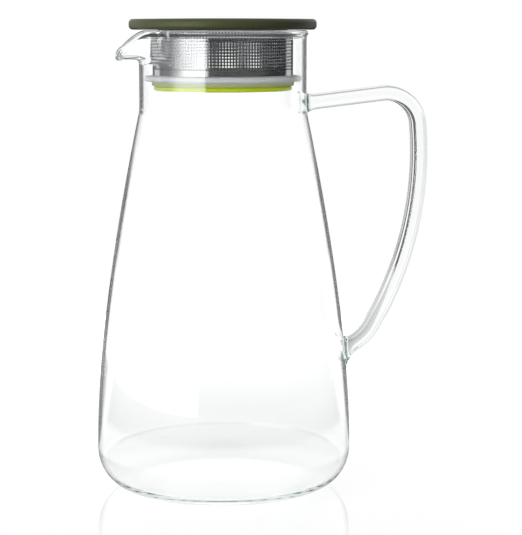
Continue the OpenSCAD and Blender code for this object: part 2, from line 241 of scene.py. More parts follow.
class PitcherStage(PropertyGroup):
    """Camera, light and floor."""

    camera_distance: length("Camera distance", "Level distance from the jug's axis", 985 * MM)
    camera_height: length("Camera height", "Height above the table", 248.7 * MM)
    camera_turn: angle("Camera turn", "Turn of the camera round the jug, towards the spout", 6)
    camera_aim: angle("Camera aim", "Turn of the view to the right of the axis", 1.18)
    camera_pitch: angle("Camera pitch", "Downward tilt of the view", 7.5)
    focal: FloatProperty(name="Focal length", default=123.9, unit="CAMERA",
                         description="In millimetres on a sensor of the height below")
    sensor: FloatProperty(name="Sensor height", default=36, unit="CAMERA", description="In millimetres")
    softbox_turn: angle("Softbox turn", "Turn of the softbox to the left of the camera", 37)
    softbox_distance: length("Softbox distance", "From the jug's axis", 950 * MM)
    softbox_width: length("Softbox width", "Width of the softbox", 1000 * MM)
    softbox_height: length("Softbox height", "Height of the softbox", 1200 * MM)
    softbox_power: FloatProperty(name="Softbox power", default=13, min=0, unit="POWER",
                                 description="In watts")
    softbox_edge: angle("Softbox edge", "Turn from the camera to the softbox's near edge, as mirrored", 24)
    softbox_level: level("Softbox level", "Brightness of the softbox, as mirrored in the glass", 10.0)
    softbox_inside: level("Softbox inside", "The same, as mirrored in what is behind the glass", 1.75)
    softbox_side: level("Softbox side", "Brightness of its faded side, as mirrored in the glass", 2.2)
    softbox_fade: level("Softbox fade", "The same, as mirrored in what is behind the glass", 0.32)
    inner_level: level("Inner level", "Light that is mirrored again and again inside the sleeve", 1.3)
    room_level: share("Room level", "Brightness of the room on the right, as mirrored", 0.11)
    edge_level: share("Edge level", "Brightness of the edges of the backdrop", 0.03)
    edge_rest: share("Edge rest", "The same, away from the backdrop", 0.82)
    edge_twice: share("Edge twice", "Light turned round more than once in a wall of glass", 0.95)
    strap_level: share("Strap level", "Brightness of the panels, as seen in solid glass", 0.86)
    gap_level: share("Gap level", "Brightness between the panels on the right", 0.1)
    gap_left: share("Gap left", "Brightness between the panels on the left", 0.8)
    ceiling_level: share("Ceiling level", "Brightness of the ceiling, as seen in solid glass", 0.6)
    backdrop: share("Backdrop", "How much brighter than white the backdrop is in the glass", 0.2)
    fill: level("Fill", "Level of the even light from all round", 0.55)
    fill_inside: level("Fill inside", "Level of the light on what stands behind the glass", 1.17)
    fill_right: share("Fill right", "What is left of it in front on the right", 0.05)
    floor_radius: length("Floor radius", "Radius of the pale floor", 600 * MM)
    # Painted light: the floor glows by itself, less next to the jug
    floor_glow: share("Floor glow", "Light that comes through the floor next to the jug", 0.727)


GROUPS = {
    "pitcher_jug": PitcherJug,
    "pitcher_spout": PitcherSpout,
    "pitcher_handle": PitcherHandle,
    "pitcher_strainer": PitcherStrainer,
    "pitcher_colours": PitcherColours,
    "pitcher_stage": PitcherStage,
}


# Kinds of node that are used most, a smooth ramp from one value to another, and white as sockets take it
MATH = "ShaderNodeMath"
MIX = "ShaderNodeMix"
RANGE = "ShaderNodeMapRange"
SMOOTH = {"interpolation_type": "SMOOTHSTEP"}
WHITE = (1.0, 1.0, 1.0, 1.0)
# Noise lies mostly between these values
NOISE_SPAN = (0.3, 0.7)


def add(tree, kind, inputs=(), **settings):
    """Adds a node, sets its own settings and fills its inputs, given by name or number, or in their order.

    A value is set and a socket is linked. A node stands for its first output."""
    node = tree.nodes.new(kind)
    for key, value in settings.items():
        setattr(node, key, value)
    for key, value in inputs.items() if isinstance(inputs, dict) else enumerate(inputs):
        if isinstance(value, Node):
            value = value.outputs[0]
        if isinstance(value, NodeSocket):
            tree.links.new(value, node.inputs[key])
        else:
            node.inputs[key].default_value = value
    return node


def new_material(name):
    """An empty node material, its tree and the Object coordinates of the piece that wears it."""
    material = bpy.data.materials.new(name)
    material.use_nodes = True
    tree = material.node_tree
    tree.nodes.clear()
    place = add(tree, "ShaderNodeTexCoord").outputs["Object"]
    return material, tree, place


def solid(colour_value):
    """A colour with full alpha, as sockets take it."""
    return (*colour_value, 1.0)


def blown_glass(colours):
    """Blown borosilicate glass: clear and fire-polished, with slow waves left by the mould.

    It gives the eye a clean white middle and thin dark edges, and a breath of green where light runs far
    in it."""
    material, tree, place = new_material("blown_glass")
    # Waves about 38 mm long and a few hundredths of a millimetre high
    waves = add(tree, "ShaderNodeTexNoise", {"Vector": place, "Scale": 1 / (38 * MM), "Detail": 1.0})
    bump = add(tree, "ShaderNodeBump", {"Height": waves, "Strength": 0.35, "Distance": 0.12 * MM})
    shader = add(tree, "ShaderNodeBsdfPrincipled", {
        "Base Color": solid(colours.glass), "Roughness": 0.0, "IOR": 1.47, "Transmission Weight": 1.0,
        "Normal": bump})
    depth = add(tree, "ShaderNodeVolumeAbsorption", {"Color": solid(colours.glass_depth), "Density": 3.0})
    add(tree, "ShaderNodeOutputMaterial", {"Surface": shader, "Volume": depth})
    return material


def moulded_plastic(name, base, light, roughness, grain):
    """Moulded matt polypropylene: an even colour with faint flow marks and a fine spark-eroded grain.

    The grain breaks the highlight up, so that it reads soft and wide."""
    material, tree, place = new_material(name)
    # Flow marks about 30 mm wide
    flow = add(tree, "ShaderNodeTexNoise", {"Vector": place, "Scale": 1 / (30 * MM), "Detail": 3.0})
    tone = add(tree, MIX, {0: flow, 6: solid(base), 7: solid(light)}, data_type="RGBA")
    speck = add(tree, "ShaderNodeTexNoise", {"Vector": place, "Scale": 1 / grain, "Detail": 2.0})
    gloss = add(tree, RANGE, (speck, *NOISE_SPAN, roughness - 0.06, roughness + 0.06))
    bump = add(tree, "ShaderNodeBump", {"Height": speck, "Strength": 0.25, "Distance": 0.04 * MM})
    shader = add(tree, "ShaderNodeBsdfPrincipled", {
        "Base Color": tone.outputs[2], "Roughness": gloss, "IOR": 1.49, "Specular IOR Level": 0.25,
        "Normal": bump})
    add(tree, "ShaderNodeOutputMaterial", {"Surface": shader})
    return material


def rolled_steel(colours):
    """Rolled stainless sheet, bright with fine level streaks from the rolls.

    It mirrors the softbox on one side and the dark room on the other, a little blurred along the streaks."""
    material, tree, place = new_material("rolled_stainless_steel")
    # Streaks about 0.5 mm high and 40 mm long, drawn coarser than the real ones so that they show
    stretched = add(tree, "ShaderNodeMapping", {"Vector": place, "Scale": (1.0, 1.0, 80.0)})
    streaks = add(tree, "ShaderNodeTexNoise", {"Vector": stretched, "Scale": 1 / (40 * MM), "Detail": 4.0})
    tone = add(tree, MIX, {0: streaks, 6: solid(colours.steel_dull), 7: solid(colours.steel)},
               data_type="RGBA")
    gloss = add(tree, RANGE, (streaks, *NOISE_SPAN, 0.06, 0.13))
    shader = add(tree, "ShaderNodeBsdfPrincipled", {
        "Base Color": tone.outputs[2], "Metallic": 1.0, "Roughness": gloss})
    add(tree, "ShaderNodeOutputMaterial", {"Surface": shader})
    return material


def lime_plastic(colours):
    """Glossy translucent polypropylene, moulded: light sinks in a little and the edges glow."""
    material, tree, place = new_material("lime_polypropylene")
    # Flow marks about 18 mm wide
    flow = add(tree, "ShaderNodeTexNoise", {"Vector": place, "Scale": 1 / (18 * MM), "Detail": 2.0})
    tone = add(tree, MIX, {0: flow, 6: solid(colours.lime_deep), 7: solid(colours.lime)}, data_type="RGBA")
    gloss = add(tree, RANGE, (flow, *NOISE_SPAN, 0.16, 0.24))
    shader = add(tree, "ShaderNodeBsdfPrincipled", {
        "Base Color": tone.outputs[2], "Roughness": gloss, "IOR": 1.49, "Specular IOR Level": 0.25,
        "Subsurface Weight": 0.25, "Subsurface Radius": (1.0, 1.0, 0.3), "Subsurface Scale": 2.0 * MM})
    add(tree, "ShaderNodeOutputMaterial", {"Surface": shader})
    return material


def frosted_silicone(colours, low, high):
    """Moulded translucent silicone with a matt, slightly dusty skin.

    Its lower tier is painted with the lime light of the ring below, which shows through the silicone."""
    material, tree, place = new_material("frosted_silicone")
    height = add(tree, "ShaderNodeSeparateXYZ", (place,)).outputs["Z"]
    # Painted lime light from the ring below: full under the tier's middle, gone just above the tier
    lime_light_share = add(tree, RANGE, (height, low, high, 1.0, 0.0), **SMOOTH)
    tone = add(tree, MIX, {0: lime_light_share, 6: solid(colours.silicone), 7: solid(colours.silicone_lime_light)},
               data_type="RGBA")
    # Dust and mould grain about 0.6 mm across
    dust = add(tree, "ShaderNodeTexNoise", {"Vector": place, "Scale": 1 / (0.6 * MM), "Detail": 3.0})
    gloss = add(tree, RANGE, (dust, *NOISE_SPAN, 0.38, 0.52))
    bump = add(tree, "ShaderNodeBump", {"Height": dust, "Strength": 0.2, "Distance": 0.03 * MM})
    shader = add(tree, "ShaderNodeBsdfPrincipled", {
        "Base Color": tone.outputs[2], "Roughness": gloss, "IOR": 1.41, "Normal": bump,
        "Subsurface Weight": 0.4, "Subsurface Radius": (1.0, 1.0, 1.0), "Subsurface Scale": 2.0 * MM})
    add(tree, "ShaderNodeOutputMaterial", {"Surface": shader})
    return material


def make_piece(name, points, faces, material):
    """A mesh object from an array of points and arrays of triangles or quads, with unused points left out."""
    corners = np.concatenate([part.ravel() for part in faces])
    sizes = np.concatenate([np.full(len(part), part.shape[1]) for part in faces])
    used, corners = np.unique(corners, return_inverse=True)
    mesh = bpy.data.meshes.new(name)
    mesh.vertices.add(len(used))
    mesh.vertices.foreach_set("co", points[used].astype(np.float32).ravel())
    mesh.loops.add(len(corners))
    mesh.loops.foreach_set("vertex_index", corners.ravel().astype(np.int32))
    mesh.polygons.add(len(sizes))
    mesh.polygons.foreach_set("loop_start", (np.cumsum(sizes) - sizes).astype(np.int32))
    mesh.update(calc_edges=True)
    mesh.polygons.foreach_set("use_smooth", np.ones(len(sizes), bool))
    mesh.set_sharp_from_angle(angle=CREASE)
    mesh.materials.append(material)
    piece = bpy.data.objects.new(name, mesh)
    bpy.context.scene.collection.objects.link(piece)
    return piece


def grid_quads(index, wrap_rows=False):
    """Quads of a grid of point numbers whose columns close up; its rows do too where wrap_rows is set."""
    below = index if wrap_rows else index[:-1]
    above = np.roll(index, -1, axis=0) if wrap_rows else index[1:]
    quads = np.stack([below, np.roll(below, -1, axis=1), np.roll(above, -1, axis=1), above], axis=-1)
    return quads.reshape(-1, 4)


def fan(centre, ring):
    """Triangles from one point to each side of a closed ring, turning as the ring does."""
    return np.stack([np.full(len(ring), centre), np.roll(ring, -1), ring], axis=-1)


def turned(profile, columns=TURNED_COLUMNS):
    """Turns a profile of radii and heights about Z: x = r cos a, y = r sin a, z = h.

    A profile that starts and ends on the axis gets a pole at each end, and any other closes on itself."""
    turn = 2 * np.pi * np.arange(columns) / columns
    poles = profile[0, 0] == 0
    rows = profile[1:-1] if poles else profile
    grid = np.stack([rows[:, :1] * np.cos(turn), rows[:, :1] * np.sin(turn),
                     np.repeat(rows[:, 1:], columns, axis=1)], axis=-1)
    index = np.arange(len(rows) * columns).reshape(len(rows), columns)
    points = grid.reshape(-1, 3)
    if not poles:
        return points, [grid_quads(index, wrap_rows=True)]
    ends = np.array([[0, 0, profile[0, 1]], [0, 0, profile[-1, 1]]])
    first = len(points)
    faces = [grid_quads(index), fan(first, index[0]), fan(first + 1, index[-1])[:, ::-1]]
    return np.vstack([points, ends]), faces


def rounded(corners, radii):
    """An outline with each corner replaced by an arc of its radius, tangent to both of its sides."""
    corners = np.array(corners, float)
    out = []
    befores = np.roll(corners, 1, axis=0)
    afters = np.roll(corners, -1, axis=0)
    for before, here, after, radius in zip(befores, corners, afters, radii):
        if radius == 0:
            out.append(here[None])
            continue
        back = (before - here) / np.linalg.norm(before - here)
        ahead = (after - here) / np.linalg.norm(after - here)
        half = np.arccos(np.clip(back @ ahead, -1, 1)) / 2
        centre = here + (back + ahead) / np.linalg.norm(back + ahead) * radius / np.sin(half)
        start = here + back * radius / np.tan(half) - centre
        end = here + ahead * radius / np.tan(half) - centre
        sweep = np.pi - 2 * half
        step = np.linspace(0, 1, CORNER_STEPS)[:, None]
        out.append(centre + (np.sin((1 - step) * sweep) * start + np.sin(step * sweep) * end) / np.sin(sweep))
    return np.vstack(out)


def smooth_step(value):
    """3 t^2 - 2 t^3 on a value held between 0 and 1."""
    held = np.clip(value, 0, 1)
    return held * held * (3 - 2 * held)


def flank_radius(jug, height):
    """Outer radius of the jug at a height above the heel.

    A cubic Bezier from the belly to the neck, with both arms upright, and straight walls outside it."""
    low = jug.heel_radius + jug.belly_band
    rise = jug.neck_height - low
    t = np.linspace(0, 1, 600)
    weights = np.array([(1 - t) ** 3, 3 * (1 - t) ** 2 * t, 3 * (1 - t) * t ** 2, t ** 3])
    heights = low + rise * (weights.T @ [0, jug.belly_pull, 1 - jug.neck_pull, 1])
    radii = weights.T @ [jug.belly_radius, jug.belly_radius, jug.neck_radius, jug.neck_radius]
    return np.interp(height, heights, radii)


def spout_plan(jug, spout, turn):
    """Plan of the rim: its distance from the axis at a turn from the spout's middle, and its sides' turn.

    It is the hull of the neck's circle and the tip's circle: the tip's arc, then the straight tangent
    neck / cos(side - turn), then the neck."""
    axis = spout.reach - spout.tip_radius
    side = np.arccos((jug.neck_radius - spout.tip_radius) / axis)
    tip = np.arctan2(spout.tip_radius * np.sin(side), axis + spout.tip_radius * np.cos(side))
    arc = axis * np.cos(turn) + np.sqrt(np.maximum(spout.tip_radius ** 2 - (axis * np.sin(turn)) ** 2, 0))
    tangent = jug.neck_radius / np.cos(np.clip(side - turn, 0, side))
    return np.where(turn <= tip, arc, tangent), side


def rim_line(jug, spout, plan, turn):
    """Height of the rim, which falls towards the tip as a superellipse of the distance along the spout."""
    start = jug.neck_radius * spout.fall_start
    along = np.clip((plan * np.cos(turn) - start) / (spout.reach - start), 0, 1)
    low = jug.height - spout.depth + spout.rim_height - spout.tip_fall
    return low + (jug.height - low) * (1 - along ** spout.fall_power) ** (1 / spout.fall_power)


def lip_lines(jug, spout, turn):
    """Outer face of the upper neck at each turn, as rows of radii and heights.

    A throat bends out of the neck into the spout's floor, a second bend turns up into the side wall, and a
    straight land ends below the rolled rim. Where the spout reaches out less than the two bends, they flatten
    in proportion."""
    plan = spout_plan(jug, spout, turn)[0]
    floor = jug.height - spout.depth
    out = plan - jug.neck_radius
    bends = spout.throat_radius + spout.side_radius
    full = np.minimum(out / bends, 1)
    run = np.maximum(out - bends, 0)
    rise = np.maximum(rim_line(jug, spout, plan, turn) - spout.rim_height - floor, 0)
    bend = np.where(rise >= spout.side_radius, np.pi / 2,
                    np.maximum(np.arccos(np.clip(1 - rise / spout.side_radius, -1, 1)), LEAST_LIP))
    step = np.linspace(0, 1, BEND_STEPS)[:, None]
    throat = full * spout.throat_radius
    throat_r = throat * (full * (1 - np.cos(step * np.pi / 2)) + (1 - full) * step)
    throat_z = spout.throat_radius * (full * np.sin(step * np.pi / 2) + (1 - full) * step - 1)
    wall = full * spout.side_radius
    step = step[1:]
    side_r = throat + run + wall * (full * np.sin(bend * step) + (1 - full) * step)
    side_z = spout.side_radius * (full * (1 - np.cos(bend * step)) + (1 - full) * step)
    land = np.maximum(rise - spout.side_radius * (1 - np.cos(bend)), spout.rim_height / 10)
    step = np.linspace(0, 1, LAND_STEPS)[1:, None]
    land_r = throat + run + wall * np.sin(bend) + land * step * np.cos(bend)
    land_z = spout.side_radius * (1 - np.cos(bend)) + land * step * np.sin(bend)
    radii = jug.neck_radius + np.vstack([throat_r, side_r, land_r])
    heights = floor + np.vstack([throat_z, side_z, land_z])
    return radii, heights


def rolled_lip(jug, spout, radii, heights):
    """The outer lines, the rolled rim at their ends, and the inner lines back down, one wall further in.

    The rim swells outwards by a smooth step and closes in a half circle as wide as the wall and the flare."""
    ahead_r = np.gradient(radii, axis=0)
    ahead_z = np.gradient(heights, axis=0)
    norm = np.hypot(ahead_r, ahead_z)
    ahead_r, ahead_z = ahead_r / norm, ahead_z / norm
    end = np.array([radii[-1], heights[-1]])
    ahead = np.array([ahead_r[-1], ahead_z[-1]])
    across = np.array([-ahead[1], ahead[0]])
    roll = (jug.wall + spout.rim_flare) / 2
    neck = spout.rim_height - roll
    step = np.linspace(0, 1, SWELL_STEPS)[1:-1, None, None]
    swell = end + neck * step * ahead - spout.rim_flare * smooth_step(step) * across
    turn = np.linspace(0, np.pi, ROLL_STEPS)[:, None, None]
    centre = end + neck * ahead + (jug.wall - spout.rim_flare) / 2 * across
    curl = centre + roll * (np.sin(turn) * ahead - np.cos(turn) * across)
    rim = np.concatenate([swell, curl])
    reached = np.minimum((radii[-1] - jug.neck_radius) / spout.tip_radius, 1)
    drawn = np.linspace(1, 0, len(radii))[:, None] * reached
    wall = jug.wall * (1 - spout.thinning * drawn)
    # The first row stays as thick as the neck below it
    wall[0] = jug.wall
    inner_r = radii - wall * ahead_z
    inner_z = heights + wall * ahead_r
    return (np.vstack([radii, rim[:, 0], inner_r[::-1]]), np.vstack([heights, rim[:, 1], inner_z[::-1]]))


def jug_columns(side):
    """Turns of the grid's columns from the spout: crowded at the tip and behind the handle's welds."""
    spout = (side + SPOUT_MARGIN) * np.linspace(0, 1, SPOUT_COLUMNS) ** SPOUT_CROWDING
    columns = UPPER_WELD[0]
    weld = np.pi - columns * WELD_STEP
    flank = np.linspace(spout[-1], weld, FLANK_COLUMNS)[1:]
    back = np.linspace(weld, np.pi, columns + 1)[1:]
    half = np.concatenate([spout, flank, back])
    return np.concatenate([half, 2 * np.pi - half[-2:0:-1]])


def weld_loop(index, row, middle, half_columns, rows, outer_up):
    """Point numbers round a weld's hole, from the middle of the strap's outer side towards +Y.

    Also the same points as places on a square from -1 to 1, across and outwards."""
    across = np.arange(-half_columns, half_columns + 1)
    up = np.arange(rows + 1)
    far, near = (rows, 0) if outer_up else (0, rows)
    down = up[::-1] if outer_up else up
    side_a = np.concatenate([across[half_columns:], np.full(rows, half_columns), across[::-1][1:],
                             np.full(rows, -half_columns), across[1:half_columns]])
    side_b = np.concatenate([np.full(half_columns + 1, far), down[1:], np.full(2 * half_columns, near),
                             down[::-1][1:], np.full(half_columns - 1, far)])
    loop = index[row + side_b, middle + side_a]
    outward = (2 * side_b / rows - 1) * (1 if outer_up else -1)
    return loop, np.unwrap(np.arctan2(outward, side_a / half_columns))


def strap_ring(handle, centre, direction, bearing):
    """Rings round the strap: a superellipse |a|^p + |b|^p = 1 across and outwards, square to the path."""
    a, b = np.cos(bearing), np.sin(bearing)
    size = (np.abs(a) ** handle.squareness + np.abs(b) ** handle.squareness) ** (-1 / handle.squareness)
    outward = b * size * handle.thickness / 2
    return np.stack([centre[:, :1] - outward * np.sin(direction)[:, None], a * size * handle.width / 2,
                     centre[:, 1:] + outward * np.cos(direction)[:, None]], axis=-1)


def handle_path(handle, root, start):
    """Places and directions along the strap: a straight arm, then three arcs that each turn clockwise.

    An arc's point is its start + r (sin d - sin(d - t), cos(d - t) - cos d)."""
    reach = np.linspace(start, handle.arm_length, ARM_STEPS)[:, None]
    slope = handle.arm_slope
    centres = [root + reach * [np.cos(slope), np.sin(slope)]]
    directions = [np.full(len(reach), slope)]
    arcs = ((handle.bend_radius, handle.bend_turn), (handle.grip_radius, handle.grip_turn),
            (handle.tail_radius, handle.tail_turn))
    for (radius, turn), steps in zip(arcs, ARC_STEPS):
        t = np.linspace(0, turn, steps)[1:]
        d = directions[-1][-1]
        arc = np.stack([np.sin(d) - np.sin(d - t), np.cos(d - t) - np.cos(d)], axis=-1)
        centres.append(centres[-1][-1] + radius * arc)
        directions.append(d - t)
    return np.vstack(centres), np.concatenate(directions)


def weld_rings(jug, loop, ring, toward, steps=12):
    """Rings of a fillet from the jug's wall to the strap, wall first.

    Each line is a cubic Bezier that leaves the wall towards the strap's foot and ends along the strap."""
    near = np.zeros(len(ring))
    far = np.full(len(ring), jug.neck_radius)
    for _ in range(40):
        middle = (near + far) / 2
        point = ring + middle[:, None] * toward
        inside = np.hypot(point[:, 0], point[:, 1]) < flank_radius(jug, point[:, 2])
        near, far = np.where(inside, near, middle), np.where(inside, middle, far)
    foot = ring + near[:, None] * toward
    pull = 0.6
    t = np.linspace(0, 1, steps)[1:-1, None, None]
    first = loop + pull * (foot - loop)
    second = ring + pull * (foot - ring)
    return (1 - t) ** 3 * loop + 3 * (1 - t) ** 2 * t * first + 3 * (1 - t) * t ** 2 * second + t ** 3 * ring


def outer_section(jug, welds, top):
    """Radii and heights from the middle of the foot out, round the heel and up to the neck's top.

    The underside is a shallow dome, the squared cosine of the radius, inside the ring that it stands on. The
    heel is a quarter circle. Rows of the wall lie on the edges of the welds."""
    foot = jug.belly_radius - jug.heel_radius
    foot_in = foot - jug.foot_width
    foot_edge = FOOT_EDGE_SHARE * jug.foot_width
    step = np.linspace(0, 1, FOOT_STEPS + 1)[1:]
    under_r = np.concatenate([foot_in * step, foot_in + foot_edge * step])
    under_z = jug.foot_recess * np.cos(np.pi / 2 * under_r / (foot_in + foot_edge)) ** 2
    flat_r = np.linspace(foot_in + foot_edge, foot, 4)[1:-1]
    bend = np.linspace(0, np.pi / 2, HEEL_ROWS)
    heel_r = foot + jug.heel_radius * np.sin(bend)
    heel_z = jug.heel_radius * (1 - np.cos(bend))
    stops = [jug.heel_radius, *welds, top]
    counts = [ROWS_BELOW, LOWER_WELD[1], ROWS_BETWEEN, UPPER_WELD[1], ROWS_ABOVE]
    wall_z = np.concatenate([np.linspace(a, b, n + 1)[1:] for a, b, n in zip(stops, stops[1:], counts)])[:-1]
    radii = np.concatenate([under_r, flat_r, heel_r, flank_radius(jug, wall_z)])
    return radii, np.concatenate([under_z, 0 * flat_r, heel_z, wall_z])


def inner_section(jug, top):
    """Radii and heights down the inside, from the neck's top round the heel to the middle of the base.

    The wall thins by a smooth step where the flank was blown out, the base thins into the heel, and the
    heel's wall runs into the flank's."""
    foot = jug.belly_radius - jug.heel_radius
    down_z = np.linspace(top, jug.heel_radius, INNER_ROWS)[1:-1]
    blown = smooth_step((jug.neck_height - down_z) / (BLOWN_SHARE * jug.neck_height))
    wall = jug.wall + (jug.flank_wall - jug.wall) * blown
    way = np.linspace(0, 1, HEEL_ROWS)[::-1]
    thick = jug.heel_wall + (jug.base - jug.heel_wall) * smooth_step(1 - BASE_THINNING * way)
    thick = thick + (jug.flank_wall - jug.heel_wall) * smooth_step(1 - FLANK_START * (1 - way))
    heel_r = foot + (jug.heel_radius - thick) * np.sin(way * np.pi / 2)
    heel_z = jug.heel_radius - (jug.heel_radius - thick) * np.cos(way * np.pi / 2)
    base_r = foot * np.linspace(1, 0, FOOT_STEPS + 1)[1:-1]
    radii = np.concatenate([flank_radius(jug, down_z) - wall, heel_r, base_r])
    return radii, np.concatenate([down_z, heel_z, np.full(len(base_r), jug.base)])


def glass_jug(jug, spout, handle):
    """The whole glass as one closed skin: a grid of columns round the axis and rows along the section.

    The rows run from the middle of the foot out, up the outside, over the rolled rim and down the inside. Two
    holes in the grid are joined by the handle's rings, so that the welds are one glass with the wall."""
    side = spout_plan(jug, spout, np.zeros(1))[1]
    turn = jug_columns(side)
    from_spout = np.minimum(turn, 2 * np.pi - turn)
    lip_r, lip_z = rolled_lip(jug, spout, *lip_lines(jug, spout, from_spout))
    floor = jug.height - spout.depth
    fold = spout.pinch * np.exp(-((from_spout - side) * jug.neck_radius / spout.pinch_width) ** 2)
    lip_r = lip_r - fold * smooth_step((lip_z - floor) / (jug.height - floor))
    lower = path_end_height(jug, handle)
    welds = [lower - handle.lower_weld / 2, lower + handle.lower_weld / 2,
             handle.arm_height - handle.upper_weld / 2, handle.arm_height + handle.upper_weld / 2]
    outer_r, outer_z = outer_section(jug, welds, lip_z[0, 0])
    inner_r, inner_z = inner_section(jug, lip_z[-1, 0])
    columns = len(turn)
    radii, heights = [
        np.vstack([np.repeat(outer[:, None], columns, 1), lip, np.repeat(inner[:, None], columns, 1)])
        for outer, lip, inner in ((outer_r, lip_r, inner_r), (outer_z, lip_z, inner_z))]
    points = np.stack([-radii * np.cos(turn), -radii * np.sin(turn), heights], axis=-1)
    index = np.arange(radii.size).reshape(radii.shape)
    body = points.reshape(-1, 3)

    quads = grid_quads(index).reshape(len(index) - 1, columns, 4)
    keep = np.ones(quads.shape[:2], bool)
    middle = int(np.argmin(np.abs(turn - np.pi)))
    loops = []
    for height, (half, rows), outer_up in ((welds[2], UPPER_WELD, True), (welds[0], LOWER_WELD, False)):
        row = int(np.argmin(np.abs(outer_z - height)))
        keep[row:row + rows, middle - half:middle + half] = False
        loops.append(weld_loop(index, row, middle, half, rows, outer_up))
    strap, strap_index = handle_skin(jug, handle, body, loops)
    poles = np.array([[0, 0, jug.foot_recess], [0, 0, jug.base]])
    first = len(body) + len(strap)
    faces = [quads[keep], fan(first, index[0]), fan(first + 1, index[-1])[:, ::-1],
             grid_quads(strap_index)[:, ::-1]]
    return np.vstack([body, strap, poles]), faces


def path_end_height(jug, handle):
    """Height at which the handle's middle line meets the flank below."""
    root = np.array([jug.neck_radius, handle.arm_height])
    centres, directions = handle_path(handle, root, 0)
    reach = np.linspace(0, jug.heel_radius, 400)[:, None]
    line = centres[-1] + reach * [np.cos(directions[-1]), np.sin(directions[-1])]
    hit = int(np.argmax(line[:, 0] < flank_radius(jug, line[:, 1])))
    return float(line[hit, 1])


def handle_skin(jug, handle, body, loops):
    """Points of the handle between its two weld loops, and the grid of point numbers from loop to loop."""
    root = np.array([jug.neck_radius, handle.arm_height])
    centres, directions = handle_path(handle, root, 0.7 * handle.thickness)
    blend = np.linspace(0, 1, len(centres))[:, None]
    (upper, upper_bearing), (lower, lower_bearing) = loops
    rings = strap_ring(handle, centres, directions, (1 - blend) * upper_bearing + blend * lower_bearing)
    back = -np.array([np.cos(directions[0]), 0, np.sin(directions[0])])
    ahead = np.array([np.cos(directions[-1]), 0, np.sin(directions[-1])])
    top = weld_rings(jug, body[upper], rings[0], back)
    bottom = weld_rings(jug, body[lower], rings[-1], ahead)[::-1]
    skin = np.concatenate([top, rings, bottom])
    numbers = len(body) + np.arange(skin.shape[0] * skin.shape[1]).reshape(skin.shape[:2])
    return skin.reshape(-1, 3), np.vstack([upper[None], numbers, lower[None]])


def perforated_sleeve(strainer):
    """A sheet bent to a cylinder, x = r cos a, y = r sin a, with a grid of square cells, each with one hole.

    A hole is an eight-sided outline inside its cell: four quads and four triangles fill the rest of the cell
    on each face, and eight quads line the hole."""
    columns, rows = strainer.hole_columns, strainer.hole_rows
    outer = SLEEVE_HIGH.x
    inner = outer - strainer.sheet
    pitch = 2 * np.pi * outer / columns
    base = SLEEVE_LOW.z + strainer.bottom_band
    column = np.arange(columns)
    row = np.arange(rows)
    half = strainer.hole_share / 2
    flat = 0.5 * half
    hole_u = np.array([half, half, flat, -flat, -half, -half, -flat, flat])
    hole_v = np.array([-flat, flat, half, half, flat, -flat, -half, -half])
    edge_z = np.concatenate([[SLEEVE_LOW.z], base + pitch * np.arange(rows + 1), [SLEEVE_HIGH.z]])
    edge_a = np.repeat((2 * np.pi * column / columns)[None], len(edge_z), 0)
    hole_a = 2 * np.pi * (column[None, :, None] + 0.5 + hole_u) / columns + 0 * row[:, None, None]
    hole_z = base + pitch * (row[:, None, None] + 0.5 + hole_v) + 0 * column[None, :, None]
    turn = np.concatenate([edge_a.ravel(), hole_a.ravel()])
    height = np.concatenate([np.repeat(edge_z, columns), hole_z.ravel()])
    count = len(turn)
    points = np.concatenate([np.stack([radius * np.cos(turn), radius * np.sin(turn), height], axis=-1)
                             for radius in (outer, inner)])
    edge = np.arange(edge_a.size).reshape(edge_a.shape)
    hole = edge.size + np.arange(hole_a.size).reshape(hole_a.shape)
    a, d = edge[1:-2], edge[2:-1]
    b, c = np.roll(a, -1, axis=1), np.roll(d, -1, axis=1)
    h = [hole[..., k] for k in range(8)]
    quads = [(b, c, h[1], h[0]), (c, d, h[3], h[2]), (d, a, h[5], h[4]), (a, b, h[7], h[6])]
    triangles = [(b, h[0], h[7]), (c, h[2], h[1]), (d, h[4], h[3]), (a, h[6], h[5])]
    quads = np.concatenate([np.stack(q, axis=-1).reshape(-1, 4) for q in quads]
                           + [grid_quads(edge[:2]), grid_quads(edge[-2:])])
    triangles = np.concatenate([np.stack(t, axis=-1).reshape(-1, 3) for t in triangles])
    ahead = np.roll(hole, -1, axis=2)
    lining = np.stack([hole, ahead, ahead + count, hole + count], axis=-1).reshape(-1, 4)
    rims = [np.stack([ring, np.roll(ring, -1), np.roll(ring, -1) + count, ring + count], axis=-1)
            for ring in (edge[-1], edge[0])]
    faces = [quads, (quads + count)[:, ::-1], lining, rims[0], rims[1][:, ::-1],
             triangles, (triangles + count)[:, ::-1]]
    return points, faces


def lid_cover(strainer):
    """Turned shell: a gently domed top, rounded edges and the recess that takes the base plate."""
    radius, low, high = LID_HIGH.x, LID_LOW.z, LID_HIGH.z
    recess = radius - strainer.cover_wall
    roof = high - strainer.cover_wall
    edge = strainer.lid_edge
    shoulder = high - strainer.lid_dome
    fine = 0.3 * MM
    corners = [(0, roof), (recess, roof), (recess, low), (radius, low), (radius, shoulder), (0, shoulder)]
    wall = rounded(corners, (0, fine, fine, edge, edge, 0))[1:-1]
    out = np.linspace(radius - edge, 0, 24)[1:]
    top = np.stack([out, high - strainer.lid_dome * (out / (radius - edge)) ** 2], axis=-1)
    under_r = np.linspace(0, recess - fine, 8)[:-1]
    under = np.stack([under_r, np.full(len(under_r), roof)], axis=-1)
    return turned(np.vstack([under, wall, top]))


